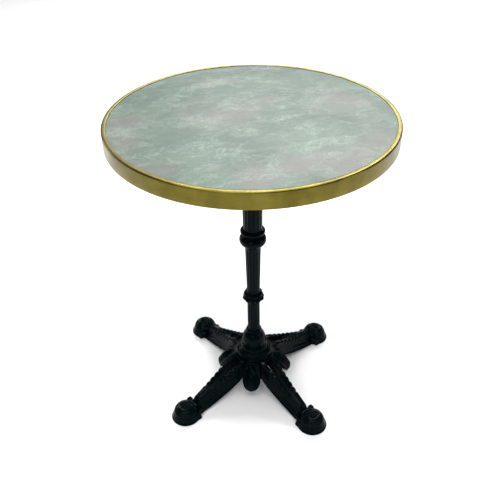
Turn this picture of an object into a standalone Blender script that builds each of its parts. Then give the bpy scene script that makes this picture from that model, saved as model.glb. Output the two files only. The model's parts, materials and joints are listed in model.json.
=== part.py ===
"""Round bistro table: a brass-edged laminate top on a cast-iron pedestal with four legs.

Metres, +Z up. The origin is on the floor under the column's axis. The legs run along the
four diagonals, and the leaf-shaped lobes between them run along +X, +Y, -X and -Y.
"""

import math

import bmesh
import bpy
from mathutils import Matrix, Vector

MM = 0.001
GAP = 0.0003              # clearance between pieces that touch

# ---- driving dimensions -------------------------------------------------------------
TABLE_HEIGHT = 0.740
TOP_RADIUS = 0.300
BAND_HEIGHT = 0.035
BAND_WALL = 0.0015
LIP_WIDTH = 0.0093
LIP_THICKNESS = 0.0025
LIP_PROUD = 0.0015
FLANGE_WIDTH = 0.012
BACKING_THICKNESS = 0.0007
BAND_CORNER = 0.0022
BAND_SLIT_AZIMUTH = 100
JOINER_LENGTH = 0.060

FOOT_CIRCLE = 0.2217      # radius of the circle through the four feet
FOOT_RADIUS = 0.0353
LEG_AZIMUTHS = (45, 135, 225, 315)
LOBE_AZIMUTHS = (0, 90, 180, 270)
HUB_RADIUS = 0.053
HUB_TOP = 0.088
HUB_BOTTOM = 0.058
NUT_POCKET_ROOF = 0.072

ROD_RADIUS = 0.006        # M12 tie rod
BORE_RADIUS = ROD_RADIUS + GAP
SPIGOT_RADIUS = 0.0102
SPIGOT_LENGTH = 0.005

BELL_TOP = 0.1663
RING_BOTTOM = 0.2568
RING_TOP = 0.2898
COLLAR_BOTTOM = 0.4255
COLLAR_TOP = 0.4685
UPPER_SHAFT_TOP = 0.690
UPPER_SHAFT_RADIUS = 0.0217
UPPER_SHAFT_BORE = 0.0175

CUP_RADIUS = 0.034
CUP_BOTTOM = 0.682
PLATE_THICKNESS = 0.006
ARM_REACH = 0.180
ARM_WIDTH = 0.026
NUT_HEIGHT = 0.007
NUT_ACROSS_FLATS = 0.019
WASHER_RADIUS = 0.012
WASHER_THICKNESS = 0.0025

PLATE_SCREW_RADII = (0.105, 0.165)
BAND_SCREW_COUNT = 6
BAND_SCREW_CIRCLE = 0.2935

PAD_RADIUS = 0.021
PAD_BOTTOM = 0.0005
PAD_HEIGHT = 0.008
STEM_RADIUS = 0.004       # M8
STEM_TOP = 0.0310
STEM_HEX_HEIGHT = 0.004
STEM_HEX_ACROSS = 0.013
BUSH_RADIUS = 0.007
PAD_RECESS_RADIUS = 0.025

ROUND = 24                # sides of a turned piece
BIG_ROUND = 72            # sides of the tabletop's pieces
SMALL_ROUND = 8          # sides of a small fastener

# ---- heights worked out from them -----------------------------------------------------
BAND_BOTTOM = TABLE_HEIGHT - BAND_HEIGHT
LAMINATE_TOP = TABLE_HEIGHT - LIP_PROUD
LIP_BOTTOM = TABLE_HEIGHT - LIP_THICKNESS
LAMINATE_RADIUS = TOP_RADIUS - LIP_WIDTH - GAP
CORE_TOP = LIP_BOTTOM - GAP
CORE_BOTTOM = BAND_BOTTOM + BAND_WALL + GAP
CORE_RADIUS = TOP_RADIUS - BAND_WALL - 0.0013
BACKING_TOP = CORE_BOTTOM - GAP
BACKING_BOTTOM = BACKING_TOP - BACKING_THICKNESS
BACKING_RADIUS = TOP_RADIUS - FLANGE_WIDTH - GAP
PLATE_TOP = BACKING_BOTTOM - GAP
PLATE_BOTTOM = PLATE_TOP - PLATE_THICKNESS
TOP_POCKET_FLOOR = UPPER_SHAFT_TOP + 0.0045
PAD_TOP = PAD_BOTTOM + PAD_HEIGHT
BUSH_BOTTOM = PAD_TOP + GAP + STEM_HEX_HEIGHT + GAP
BUSH_TOP = STEM_TOP - 0.001

MATERIALS = {
    "black_iron": ((0.022, 0.028, 0.026), 0.36, 0.0),
    "brass": ((0.42, 0.34, 0.09), 0.32, 1.0),
    "laminate": ((0.37, 0.45, 0.40), 0.38, 0.0),
    "chipboard": ((0.45, 0.33, 0.20), 0.80, 0.0),
    "black_backing": ((0.03, 0.03, 0.03), 0.60, 0.0),
    "zinc_steel": ((0.55, 0.56, 0.58), 0.35, 1.0),
    "nylon": ((0.05, 0.05, 0.05), 0.50, 0.0),
}


# ---- scene and helpers --------------------------------------------------------------
def clear_scene():
    for obj in list(bpy.data.objects):
        bpy.data.objects.remove(obj, do_unlink=True)


def new_collection(name):
    collection = bpy.data.collections.new(name)
    bpy.context.scene.collection.children.link(collection)
    return collection


clear_scene()
TABLE = new_collection("bistro_table")
CUTTERS = new_collection("cutters")


def material(name):
    """The named Principled material, made once."""
    found = bpy.data.materials.get(name)
    if found:
        return found
    colour, roughness, metallic = MATERIALS[name]
    made = bpy.data.materials.new(name)
    made.use_nodes = True
    shader = made.node_tree.nodes["Principled BSDF"]
    shader.inputs["Base Color"].default_value = (*colour, 1.0)
    shader.inputs["Roughness"].default_value = roughness
    shader.inputs["Metallic"].default_value = metallic
    return made


def place(name, mesh, finish=None, collection=None):
    """An object of this mesh: a part if it has a finish, otherwise a cutter."""
    obj = bpy.data.objects.new(name, mesh)
    if finish:
        mesh.materials.append(material(finish))
        TABLE.objects.link(obj)
        return obj
    (collection or CUTTERS).objects.link(obj)
    obj.hide_render = True
    obj.display_type = "WIRE"
    return obj


def turned(name, outline, finish=None, bored=True, sides=ROUND, collection=None):
    """A Screw modifier turns the outline (radius, height) about Z.

    The outline runs down the outer side, and a bored one comes back up the bore.
    """
    mesh = bpy.data.meshes.new(name)
    points = [(radius, 0.0, height) for radius, height in outline]
    edges = [(i, i + 1) for i in range(len(points) - 1)]
    if bored:
        edges.append((len(points) - 1, 0))
    mesh.from_pydata(points, edges, [])
    obj = place(name, mesh, finish, collection)
    screw = obj.modifiers.new("turn", "SCREW")
    screw.axis = "Z"
    screw.steps = sides
    screw.render_steps = sides
    screw.use_merge_vertices = True
    screw.merge_threshold = 0.00001
    screw.use_smooth_shade = True
    return obj


def cylinder(name, radius, low, high, finish=None, sides=ROUND, at=(0.0, 0.0), collection=None):
    """A closed upright cylinder primitive, or a prism when it has few sides."""
    mesh = bpy.data.meshes.new(name)
    shape = bmesh.new()
    bmesh.ops.create_cone(
        shape, cap_ends=True, segments=sides, radius1=radius, radius2=radius, depth=high - low
    )
    shape.to_mesh(mesh)
    shape.free()
    obj = place(name, mesh, finish, collection)
    obj.location = (at[0], at[1], (low + high) / 2)
    return obj


def loft(name, sections, collection):
    """A closed solid through unlike sections, each a ring of as many points."""
    mesh = bpy.data.meshes.new(name)
    count = len(sections[0])
    points = [point for section in sections for point in section]
    faces = [tuple(range(count))[::-1]]
    for ring in range(len(sections) - 1):
        for side in range(count):
            start = ring * count
            after = (side + 1) % count
            faces.append((start + side, start + after, start + count + after, start + count + side))
    faces.append(tuple(range(len(points) - count, len(points))))
    mesh.from_pydata(points, [], faces)
    shape = bmesh.new()
    shape.from_mesh(mesh)
    bmesh.ops.recalc_face_normals(shape, faces=shape.faces)
    shape.to_mesh(mesh)
    shape.free()
    return place(name, mesh, collection=collection)


def combine(obj, collection, operation):
    """One exact Boolean with everything in the collection."""
    boolean = obj.modifiers.new(operation.lower(), "BOOLEAN")
    boolean.operation = operation
    boolean.operand_type = "COLLECTION"
    boolean.collection = collection
    boolean.solver = "EXACT"


def tool_collection(name):
    """A collection of cutters, inside the cutters' own."""
    collection = bpy.data.collections.new(name)
    CUTTERS.children.link(collection)
    return collection


def arc(centre, radius, start, end, count):
    """Points (radius, height) round an arc, angles in degrees."""
    angles = [math.radians(start + (end - start) * i / (count - 1)) for i in range(count)]
    return [(centre[0] + radius * math.cos(a), centre[1] + radius * math.sin(a)) for a in angles]


def millimetres(points):
    return [(radius * MM, height * MM) for radius, height in points]


def polar(radius, azimuth):
    angle = math.radians(azimuth)
    return radius * math.cos(angle), radius * math.sin(angle)


def foot_place(number):
    return polar(FOOT_CIRCLE, LEG_AZIMUTHS[number])


# ---- base casting -------------------------------------------------------------------
# Stations along a leg: distance from the axis, half width and height of its top edges,
# half width and height of its bottom edges, in millimetres.
LEG_STATIONS = (
    (40, 20.0, 87.8, 24.0, 60),
    (58, 23.0, 87.8, 28.0, 48),
    (80, 19.8, 79.6, 26.5, 34),
    (100, 17.0, 71.0, 24.0, 23),
    (140, 12.8, 54.2, 22.5, 11),
    (180, 9.0, 37.6, 23.0, 4),
    (200, 8.5, 33.5, 23.0, 2),
)
WALL = 5.5                # thickness of the legs' side walls, mm
ROOF = 7.0                # thickness of the legs' tops, mm


def leg_section(station, azimuth, shrink=0.0, lower=0.0, floor=None):
    """The four corners of a leg at one station, optionally drawn in by the wall."""
    reach, top_half, top, bottom_half, bottom = station
    top_half = max(top_half - shrink, 2.0)
    bottom_half = bottom_half - shrink
    top = top - lower
    bottom = bottom if floor is None else floor
    turn = Matrix.Rotation(math.radians(azimuth), 3, "Z")
    corners = ((-top_half, top), (top_half, top), (bottom_half, bottom), (-bottom_half, bottom))
    return [turn @ Vector((reach, side, height)) * MM for side, height in corners]


def vee_cutter(name, azimuth, collection):
    """The open wedge between a leg's two rails."""
    widths = ((57, 17.5), (80, 14.3), (94, 11.5), (100, 7.0))
    turn = Matrix.Rotation(math.radians(azimuth), 3, "Z")
    sections = []
    for reach, half in widths:
        corners = ((-half, 100), (half, 100), (half, -2), (-half, -2))
        sections.append([turn @ Vector((reach, side, height)) * MM for side, height in corners])
    loft(name, sections, collection)


# Stations down a lobe: distance from the axis, height and half width, mm.
LOBE_STATIONS = (
    (46, 84, 15), (60, 83.5, 18), (72, 77, 22), (84, 64.5, 24), (93, 50, 22.5), (96.5, 39, 18.5),
    (94, 29, 12),
)
LOBE_THICKNESS = 7
LOBE_KEEL = 0.55           # how far a lobe's edges fall back from its middle, per half width


def lobe(name, azimuth, collection):
    """A leaf-shaped tongue that hangs out and down from the hub between two legs."""
    turn = Matrix.Rotation(math.radians(azimuth), 3, "Z")
    sections = []
    last = len(LOBE_STATIONS) - 1
    for index, (reach, height, half) in enumerate(LOBE_STATIONS):
        before = LOBE_STATIONS[max(index - 1, 0)]
        after = LOBE_STATIONS[min(index + 1, last)]
        run = Vector((after[0] - before[0], 0, after[1] - before[1])).normalized()
        inward = Vector((run.z, 0, -run.x)) * LOBE_THICKNESS
        outer = Vector((reach, 0, height))
        back = -LOBE_KEEL * half
        corners = [
            outer + Vector((back, -half, 0)),
            outer,
            outer + Vector((back, half, 0)),
            outer + inward + Vector((back, half, 0)),
            outer + inward,
            outer + inward + Vector((back, -half, 0)),
        ]
        sections.append([turn @ corner * MM for corner in corners])
    loft(name, sections, collection)


def foot_outline():
    """Flared skirt with a domed ball on it, from the crown down to the floor."""
    dome = [(29.5 * math.sin(a), 18.0 + 18.5 * math.cos(a))
            for a in (math.radians(step) for step in range(0, 91, 15))]
    skirt = [(30.0, 15.0), (31.2, 13.5), (33.4, 7.0), (FOOT_RADIUS / MM, 0.0), (0.0, 0.0)]
    return millimetres(dome + skirt)


def base_casting():
    """Hub, four two-railed legs with feet, and four lobes, cast in one piece."""
    adds = tool_collection("base_adds")
    cuts = tool_collection("base_cuts")
    hub = [(HUB_RADIUS - 0.002, HUB_TOP), (HUB_RADIUS, HUB_TOP - 0.002),
           (HUB_RADIUS, HUB_TOP - 0.008), (HUB_RADIUS - 0.004, HUB_BOTTOM),
           (BORE_RADIUS, HUB_BOTTOM), (BORE_RADIUS, HUB_TOP)]
    casting = turned("base_casting", hub, "black_iron")
    for number, azimuth in enumerate(LEG_AZIMUTHS, start=1):
        sections = [leg_section(station, azimuth) for station in LEG_STATIONS]
        loft(f"leg_{number}", sections, adds)
        foot = turned(f"foot_{number}", foot_outline(), bored=False, collection=adds)
        foot.location = (*foot_place(number - 1), 0)
        hollow = [leg_section(station, azimuth, shrink=WALL, lower=ROOF, floor=-2)
                  for station in LEG_STATIONS[2:6]]
        loft(f"leg_hollow_{number}", hollow, cuts)
        vee_cutter(f"vee_{number}", azimuth, cuts)
        cylinder(f"pad_recess_{number}", PAD_RECESS_RADIUS, -0.002, BUSH_BOTTOM + 0.0008,
                 sides=32, at=foot_place(number - 1), collection=cuts)
        cylinder(f"bush_bore_{number}", BUSH_RADIUS + GAP, 0, STEM_TOP + 2 * GAP,
                 sides=24, at=foot_place(number - 1), collection=cuts)
    for number, azimuth in enumerate(LOBE_AZIMUTHS, start=1):
        lobe(f"lobe_{number}", azimuth, adds)
    cylinder("nut_pocket", 0.020, 0, NUT_POCKET_ROOF, sides=32, collection=cuts)
    cylinder("rod_bore", BORE_RADIUS, 0, HUB_TOP + 0.002, sides=24, collection=cuts)
    combine(casting, adds, "UNION")
    combine(casting, cuts, "DIFFERENCE")
    return casting


# ---- pedestal column ----------------------------------------------------------------
def stacked(outer, top, bottom, socket=True, spigot=True, bore=BORE_RADIUS):
    """Closes a turned piece's outer line with its bottom spigot, bore and top socket."""
    outline = list(outer)
    if spigot:
        outline += [(SPIGOT_RADIUS, bottom), (SPIGOT_RADIUS, bottom - SPIGOT_LENGTH)]
        outline += [(bore, bottom - SPIGOT_LENGTH)]
    else:
        outline += [(bore, bottom)]
    if socket:
        depth = SPIGOT_LENGTH + GAP
        wide = SPIGOT_RADIUS + GAP
        outline += [(bore, top - depth), (wide, top - depth), (wide, top)]
    else:
        outline += [(bore, top)]
    return outline


def column_bell():
    """Bell at the column's foot: top ring, flare, bulb, neck and stepped beaded flange."""
    bottom = HUB_TOP + GAP
    outer = millimetres(
        [(17.4, 166.3), (18, 165.5), (18, 161.5), (19.2, 158), (21.7, 154), (23.7, 151),
         (26, 147), (28.6, 140), (30.4, 133), (31, 127), (30.6, 120), (29.6, 113.5),
         (29.4, 110), (31.5, 107), (34.5, 105.2), (35.5, 102.5), (39, 100.6), (41, 99),
         (42, 96.5), (46, 95), (48.2, 93), (48.2, 90)]
    )
    outer.append((0.0475, bottom))
    return turned("column_bell", stacked(outer, BELL_TOP, bottom, spigot=False), "black_iron")


def lower_shaft():
    bottom = BELL_TOP + GAP
    top = RING_BOTTOM - GAP
    outer = [(0.0147, top), (0.0147, bottom)]
    return turned("lower_shaft", stacked(outer, top, bottom), "black_iron")


def ornament_ring():
    """Cast ring of two bead rows between the two fluted shafts."""
    outer = millimetres([(17.5, 289.8), (19, 287.5), (19.5, 285)])
    outer += millimetres(arc((18.2, 279.5), 4.6, 70, -70, 5))
    outer += millimetres(arc((18.7, 267.5), 6.6, 70, -70, 7))
    outer += millimetres([(18.5, 259.5), (16.5, 256.8)])
    return turned("ornament_ring", stacked(outer, RING_TOP, RING_BOTTOM), "black_iron")


def tapered_shaft():
    bottom = RING_TOP + GAP
    top = COLLAR_BOTTOM - GAP
    outer = [(0.0192, top), (0.0181, 0.414), (0.0174, 0.390), (0.0167, 0.350),
             (0.0157, 0.310), (0.0153, bottom)]
    return turned("tapered_shaft", stacked(outer, top, bottom), "black_iron")


def double_collar():
    """Two stacked beads that carry the wider upper shaft."""
    outer = [(0.0222, COLLAR_TOP)]
    outer += millimetres(arc((21.9, 462), 6.5, 75, -60, 7))
    outer += millimetres([(25.6, 454.2)])
    outer += millimetres(arc((17, 439.5), 14, 62, -72, 10))
    outer += [(0.0196, COLLAR_BOTTOM)]
    return turned("double_collar", stacked(outer, COLLAR_TOP, COLLAR_BOTTOM), "black_iron")


def upper_shaft():
    """Fluted tube with a solid foot that centres on the collar."""
    bottom = COLLAR_TOP + GAP
    foot = bottom + 0.008
    top = UPPER_SHAFT_TOP
    outline = [(0.0225, top), (UPPER_SHAFT_RADIUS, bottom),
               (SPIGOT_RADIUS, bottom), (SPIGOT_RADIUS, bottom - SPIGOT_LENGTH),
               (BORE_RADIUS, bottom - SPIGOT_LENGTH), (BORE_RADIUS, foot),
               (UPPER_SHAFT_BORE, foot), (UPPER_SHAFT_BORE, top)]
    return turned("upper_shaft", outline, "black_iron")


# ---- top plate and tie rod ----------------------------------------------------------
def plate_screw_places():
    return [polar(radius, azimuth) for azimuth in LOBE_AZIMUTHS for radius in PLATE_SCREW_RADII]


def arm(name, azimuth, collection):
    """One tapered flat arm of the top plate."""
    turn = Matrix.Rotation(math.radians(azimuth), 3, "Z")
    sections = []
    for reach, half in ((0.02, 0.75), (0.15, 0.5), (0.174, 0.42), (ARM_REACH, 0.25)):
        corners = ((-half, PLATE_TOP), (half, PLATE_TOP), (half, PLATE_BOTTOM), (-half, PLATE_BOTTOM))
        section = [turn @ Vector((reach, side * ARM_WIDTH, height)) for side, height in corners]
        sections.append(section)
    loft(name, sections, collection)


def top_plate():
    """Four-armed cast plate; its cup takes the column's head and a pocket hides the nut."""
    adds = tool_collection("plate_adds")
    cuts = tool_collection("plate_cuts")
    outline = [(CUP_RADIUS, PLATE_TOP), (CUP_RADIUS, PLATE_BOTTOM - 0.004),
               (CUP_RADIUS - 0.007, CUP_BOTTOM), (0.0228, CUP_BOTTOM),
               (0.0228, UPPER_SHAFT_TOP + GAP), (BORE_RADIUS, UPPER_SHAFT_TOP + GAP),
               (BORE_RADIUS, TOP_POCKET_FLOOR), (0.014, TOP_POCKET_FLOOR), (0.014, PLATE_TOP)]
    plate = turned("top_plate", outline, "black_iron")
    for number, azimuth in enumerate(LOBE_AZIMUTHS, start=1):
        arm(f"arm_{number}", azimuth, adds)
    cylinder("plate_pocket", 0.014, TOP_POCKET_FLOOR, PLATE_TOP + 0.002, collection=cuts)
    for number, spot in enumerate(plate_screw_places(), start=1):
        cylinder(f"plate_hole_{number}", 0.0028, PLATE_BOTTOM - 0.002, PLATE_TOP + 0.002,
                 sides=SMALL_ROUND, at=spot, collection=cuts)
    combine(plate, adds, "UNION")
    combine(plate, cuts, "DIFFERENCE")
    return plate


def washer(name, low):
    outline = [(WASHER_RADIUS, low + WASHER_THICKNESS), (WASHER_RADIUS, low),
               (BORE_RADIUS, low), (BORE_RADIUS, low + WASHER_THICKNESS)]
    return turned(name, outline, "zinc_steel", sides=24)


def nut(name, low):
    """A hexagon nut: a six-sided prism with a bore cut through it."""
    cuts = tool_collection(f"{name}_cuts")
    radius = NUT_ACROSS_FLATS / 2 / math.cos(math.pi / 6)
    made = cylinder(name, radius, low, low + NUT_HEIGHT, "zinc_steel", sides=6)
    cylinder(f"{name}_bore", BORE_RADIUS, low - 0.002, low + NUT_HEIGHT + 0.002,
             sides=24, collection=cuts)
    combine(made, cuts, "DIFFERENCE")


def tie_rod():
    """The rod that clamps base, column and top plate together, with its nuts and washers."""
    bottom_washer_low = NUT_POCKET_ROOF - GAP - WASHER_THICKNESS
    bottom_nut_low = bottom_washer_low - GAP - NUT_HEIGHT
    top_washer_low = TOP_POCKET_FLOOR + GAP
    top_nut_low = top_washer_low + WASHER_THICKNESS + GAP
    washer("bottom_washer", bottom_washer_low)
    nut("bottom_nut", bottom_nut_low)
    washer("top_washer", top_washer_low)
    nut("top_nut", top_nut_low)
    cylinder("tie_rod", ROD_RADIUS, bottom_nut_low - 0.004, PLATE_TOP - 0.0005,
             "zinc_steel", sides=24)


# ---- tabletop -----------------------------------------------------------------------
def band_screw_places():
    step = 360 / BAND_SCREW_COUNT
    return [polar(BAND_SCREW_CIRCLE, 15 + step * i) for i in range(BAND_SCREW_COUNT)]


def tabletop_core():
    cuts = tool_collection("core_cuts")
    core = cylinder("tabletop_core", CORE_RADIUS, CORE_BOTTOM, CORE_TOP, "chipboard",
                    sides=BIG_ROUND)
    for number, spot in enumerate(plate_screw_places(), start=1):
        cylinder(f"core_hole_{number}", 0.0025, CORE_BOTTOM - 0.002, CORE_BOTTOM + 0.0145,
                 sides=SMALL_ROUND, at=spot, collection=cuts)
    for number, spot in enumerate(band_screw_places(), start=1):
        cylinder(f"core_edge_hole_{number}", 0.0018, CORE_BOTTOM - 0.002, CORE_BOTTOM + 0.0105,
                 sides=SMALL_ROUND, at=spot, collection=cuts)
    combine(core, cuts, "DIFFERENCE")


def backing_sheet():
    cuts = tool_collection("backing_cuts")
    sheet = cylinder("backing_sheet", BACKING_RADIUS, BACKING_BOTTOM, BACKING_TOP,
                     "black_backing", sides=BIG_ROUND)
    for number, spot in enumerate(plate_screw_places(), start=1):
        cylinder(f"backing_hole_{number}", 0.0025, BACKING_BOTTOM - 0.002, BACKING_TOP + 0.002,
                 sides=SMALL_ROUND, at=spot, collection=cuts)
    combine(sheet, cuts, "DIFFERENCE")


def edge_band():
    """Brass channel: lip over the laminate's edge, wall, and flange under the core."""
    cuts = tool_collection("band_cuts")
    inner = TOP_RADIUS - BAND_WALL
    corner = (TOP_RADIUS - BAND_CORNER, TABLE_HEIGHT - BAND_CORNER)
    outline = [(TOP_RADIUS - LIP_WIDTH, TABLE_HEIGHT - 0.0006),
               (TOP_RADIUS - LIP_WIDTH + 0.0006, TABLE_HEIGHT)]
    outline += arc(corner, BAND_CORNER, 90, 0, 5)
    outline += [(TOP_RADIUS, BAND_BOTTOM), (TOP_RADIUS - FLANGE_WIDTH, BAND_BOTTOM),
                (TOP_RADIUS - FLANGE_WIDTH, BAND_BOTTOM + BAND_WALL),
                (inner, BAND_BOTTOM + BAND_WALL), (inner, LIP_BOTTOM),
                (TOP_RADIUS - LIP_WIDTH, LIP_BOTTOM)]
    band = turned("edge_band", outline, "brass", sides=BIG_ROUND)
    slit_mesh = bpy.data.meshes.new("band_slit")
    shape = bmesh.new()
    bmesh.ops.create_cube(shape, size=1.0)
    bmesh.ops.scale(shape, vec=(0.03, 0.0003, 0.06), verts=shape.verts)
    shape.to_mesh(slit_mesh)
    shape.free()
    slit = place("band_slit", slit_mesh, collection=cuts)
    slit.location = (*polar(TOP_RADIUS - 0.005, BAND_SLIT_AZIMUTH), TABLE_HEIGHT - BAND_HEIGHT / 2)
    slit.rotation_euler.z = math.radians(BAND_SLIT_AZIMUTH)
    for number, spot in enumerate(band_screw_places(), start=1):
        cylinder(f"band_hole_{number}", 0.0018, BAND_BOTTOM - 0.002, BAND_BOTTOM + 0.003,
                 sides=SMALL_ROUND, at=spot, collection=cuts)
    combine(band, cuts, "DIFFERENCE")


def edge_band_joiner():
    """Curved strip behind the band's butt joint."""
    outer = TOP_RADIUS - BAND_WALL - GAP
    half = math.degrees(JOINER_LENGTH / 2 / TOP_RADIUS)
    low = BAND_BOTTOM + 0.006
    high = TABLE_HEIGHT - 0.006
    sections = []
    for step in range(9):
        azimuth = BAND_SLIT_AZIMUTH - half + half * step / 4
        outer_spot = polar(outer, azimuth)
        inner_spot = polar(outer - 0.0007, azimuth)
        sections.append([(*outer_spot, low), (*outer_spot, high),
                         (*inner_spot, high), (*inner_spot, low)])
    joiner = loft("edge_band_joiner", sections, CUTTERS)
    CUTTERS.objects.unlink(joiner)
    TABLE.objects.link(joiner)
    joiner.hide_render = False
    joiner.display_type = "TEXTURED"
    joiner.data.materials.append(material("brass"))


def screw(name, spot, head_radius, head_height, shank_radius, seat, tip):
    """Pan-head screw seen from below: head under the seat, shank up into the core."""
    low = seat - head_height
    outline = [(0, tip), (shank_radius, tip - shank_radius), (shank_radius, seat),
               (head_radius, seat), (head_radius, low + head_height * 0.4),
               (head_radius * 0.7, low), (0, low)]
    made = turned(name, outline, "zinc_steel", bored=False, sides=SMALL_ROUND)
    made.location = (*spot, 0)


def tabletop():
    tabletop_core()
    cylinder("laminate_top", LAMINATE_RADIUS, LIP_BOTTOM, LAMINATE_TOP, "laminate",
             sides=BIG_ROUND)
    backing_sheet()
    edge_band()
    edge_band_joiner()
    for number, spot in enumerate(plate_screw_places(), start=1):
        screw(f"top_plate_screw_{number}", spot, 0.0046, 0.0030, 0.0022,
              PLATE_BOTTOM - GAP, CORE_BOTTOM + 0.0140)
    for number, spot in enumerate(band_screw_places(), start=1):
        screw(f"edge_band_screw_{number}", spot, 0.0029, 0.0016, 0.0015,
              BAND_BOTTOM - GAP, CORE_BOTTOM + 0.0100)


# ---- levelling glides ---------------------------------------------------------------
def glide(number):
    """Pad, threaded stem with a spanner hexagon, and the bush that the stem turns in."""
    spot = foot_place(number - 1)
    pad = [(PAD_RADIUS - 0.002, PAD_TOP), (PAD_RADIUS, PAD_TOP - 0.002),
           (PAD_RADIUS, PAD_BOTTOM + 0.001), (PAD_RADIUS - 0.001, PAD_BOTTOM),
           (0, PAD_BOTTOM)]
    pad_object = turned(f"glide_pad_{number}", [(0, PAD_TOP)] + pad, "nylon", bored=False,
                        sides=24)
    pad_object.location = (*spot, 0)
    hex_low = PAD_TOP + GAP
    hex_high = hex_low + STEM_HEX_HEIGHT
    adds = tool_collection(f"stem_adds_{number}")
    across = STEM_HEX_ACROSS / 2 / math.cos(math.pi / 6)
    stem = cylinder(f"glide_stem_{number}", across, hex_low, hex_high, "zinc_steel", sides=6,
                    at=spot)
    cylinder(f"stem_shank_{number}", STEM_RADIUS, hex_high - 0.001, STEM_TOP, sides=16,
             at=spot, collection=adds)
    combine(stem, adds, "UNION")
    bush = [(BUSH_RADIUS, BUSH_TOP), (BUSH_RADIUS, BUSH_BOTTOM),
            (STEM_RADIUS + 0.0001, BUSH_BOTTOM), (STEM_RADIUS + 0.0001, BUSH_TOP)]
    bush_object = turned(f"glide_bush_{number}", bush, "zinc_steel", sides=16)
    bush_object.location = (*spot, 0)


# ---- assembly -----------------------------------------------------------------------
base_casting()
column_bell()
lower_shaft()
ornament_ring()
tapered_shaft()
double_collar()
upper_shaft()
top_plate()
tie_rod()
tabletop()
for glide_number in range(1, len(LEG_AZIMUTHS) + 1):
    glide(glide_number)
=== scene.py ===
"""Looks for a round bistro table: enamelled cast iron, brass edge band, stone-look laminate.

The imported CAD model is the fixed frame. The pieces here replace its plain castings, band and
laminate with finely worked surfaces in the same places, and every part gets its real finish.
Lengths inside the shape functions are millimetres; the meshes are metres.
"""

import json
import math

import bmesh
import bpy
import numpy as np
from mathutils import Matrix, Vector


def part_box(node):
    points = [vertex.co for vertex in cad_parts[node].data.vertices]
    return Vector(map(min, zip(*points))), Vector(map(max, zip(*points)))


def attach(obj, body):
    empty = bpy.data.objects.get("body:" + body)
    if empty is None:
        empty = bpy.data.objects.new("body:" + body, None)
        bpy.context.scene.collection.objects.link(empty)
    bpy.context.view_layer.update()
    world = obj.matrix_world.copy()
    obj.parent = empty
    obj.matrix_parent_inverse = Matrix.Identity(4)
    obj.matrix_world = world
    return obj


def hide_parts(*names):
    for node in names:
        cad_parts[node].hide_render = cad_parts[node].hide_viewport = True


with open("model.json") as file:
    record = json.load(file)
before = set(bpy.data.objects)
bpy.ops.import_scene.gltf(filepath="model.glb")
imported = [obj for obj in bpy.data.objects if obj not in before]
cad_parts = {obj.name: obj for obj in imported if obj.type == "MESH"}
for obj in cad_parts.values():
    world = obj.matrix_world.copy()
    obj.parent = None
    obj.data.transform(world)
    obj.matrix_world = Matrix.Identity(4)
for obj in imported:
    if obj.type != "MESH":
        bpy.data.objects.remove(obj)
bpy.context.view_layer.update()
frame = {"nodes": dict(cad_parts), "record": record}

MM = 0.001
BODY = "table"
TURN = 2 * np.pi


# ---- sizes in millimetres: from the frame, then the CAD model's own --------------------
def height_range(node):
    """Lowest and highest point of a CAD node, mm."""
    low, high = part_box(node)
    return low[2] / MM, high[2] / MM


TOP_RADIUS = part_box("edge_band")[1][0] / MM
BAND_BOTTOM, TABLE_HEIGHT = height_range("edge_band")
LAMINATE_BOTTOM, LAMINATE_TOP = height_range("laminate_top")
LAMINATE_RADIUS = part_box("laminate_top")[1][0] / MM
HUB_TOP = height_range("base_casting")[1]
BELL_BOTTOM, BELL_TOP = height_range("column_bell")
SHAFT_TOP = height_range("upper_shaft")[1]
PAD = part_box("glide_pad_1")
FOOT_CIRCLE = math.hypot((PAD[0][0] + PAD[1][0]) / 2, (PAD[0][1] + PAD[1][1]) / 2) / MM

LEG_AZIMUTHS = (45, 135, 225, 315)
LOBE_AZIMUTHS = (0, 90, 180, 270)
ROD_BORE = 6.3            # radius of the hole for the tie rod
STACK_GAP = 0.3           # clearance between castings stacked on the rod
NUT_POCKET_RADIUS = 20.0  # pocket under the hub for the tie rod's nut
NUT_POCKET_ROOF = 72.0
HUB_BOTTOM = 58.0


# ---- numbers and curves -------------------------------------------------------------
def ramp(value, start, end):
    """Smooth step: 0 before start, 1 after end, with an eased S between them."""
    part = np.clip((value - start) / (end - start), 0, 1)
    return part * part * (3 - 2 * part)


def eased(value, stations, heights, reach=5.0):
    """A line through stations whose corners are rounded by averaging over +-reach."""
    shifts = np.linspace(-reach, reach, 9)
    return np.mean([np.interp(value + shift, stations, heights) for shift in shifts], axis=0)


def hump(value, centre, half):
    """A rounded bump, 1 at the centre and 0 beyond half to each side."""
    part = np.clip(np.abs(value - centre) / half, 0, 1)
    return 0.5 + 0.5 * np.cos(np.pi * part)


def along(points, count, corner=0.0):
    """An outline resampled to evenly spaced points; corner in mm rounds its corners."""
    points = np.asarray(points, float)
    length = np.concatenate([[0], np.cumsum(np.hypot(*np.diff(points, axis=0).T))])
    place = np.linspace(0, length[-1], count)
    if not corner:
        return np.stack([np.interp(place, length, points[:, axis]) for axis in (0, 1)], 1)
    return np.stack([eased(place, length, points[:, axis], corner) for axis in (0, 1)], 1)


# ---- meshes -------------------------------------------------------------------------
def grid_faces(rows, columns, close_rows, close_columns):
    """Quads between neighbouring points of a grid, wrapping where it closes on itself."""
    row = np.arange(rows if close_rows else rows - 1)
    column = np.arange(columns if close_columns else columns - 1)
    i, j = np.meshgrid(row, column, indexing="ij")
    after_i = (i + 1) % rows
    after_j = (j + 1) % columns
    corners = (i * columns + j, i * columns + after_j, after_i * columns + after_j,
               after_i * columns + j)
    return np.stack(corners, -1).reshape(-1, 4)


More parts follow.
